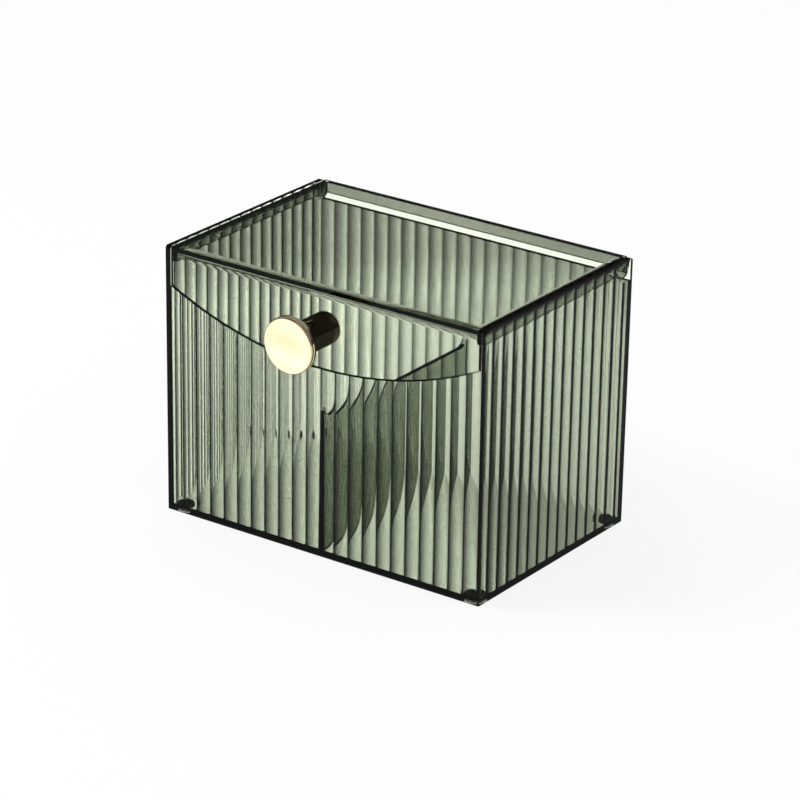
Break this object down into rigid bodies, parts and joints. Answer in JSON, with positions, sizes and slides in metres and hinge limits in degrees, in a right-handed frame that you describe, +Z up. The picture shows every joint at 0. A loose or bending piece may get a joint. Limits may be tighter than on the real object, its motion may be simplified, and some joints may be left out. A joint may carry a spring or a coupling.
{
  "type": "cotton swab holder",
  "caption": "Clear fluted box with a fixed divider, an arched front rim and a flip-up lid with a round knob.",
  "frame": {"origin": "on the underside, in the middle of the box", "axes": "+X along the front towards the viewer's right, +Y from the knob side to the hinge side, +Z up"},
  "size_m": [0.135, 0.1088, 0.1],
  "materials": {
    "clear_plastic": "clear, smoky grey-green, high gloss",
    "gold_metal": "polished pale gold plating",
    "foot_rubber": "soft, satin"
  },
  "bodies": {
    "box": {"box_body": "clear_plastic", "foot_front_left": "foot_rubber", "foot_front_right": "foot_rubber", "foot_back_left": "foot_rubber", "foot_back_right": "foot_rubber"},
    "flip_lid": {"lid": "clear_plastic", "knob": "gold_metal", "knob_screw": "gold_metal"}
  },
  "joints": [
    {"name": "lid_hinge", "type": "hinge", "parent": "box", "child": "flip_lid", "pos_m": [0, 0.0413, 0.0964], "axis": [-1, 0, 0], "range_deg": [0, 105]}
  ]
}
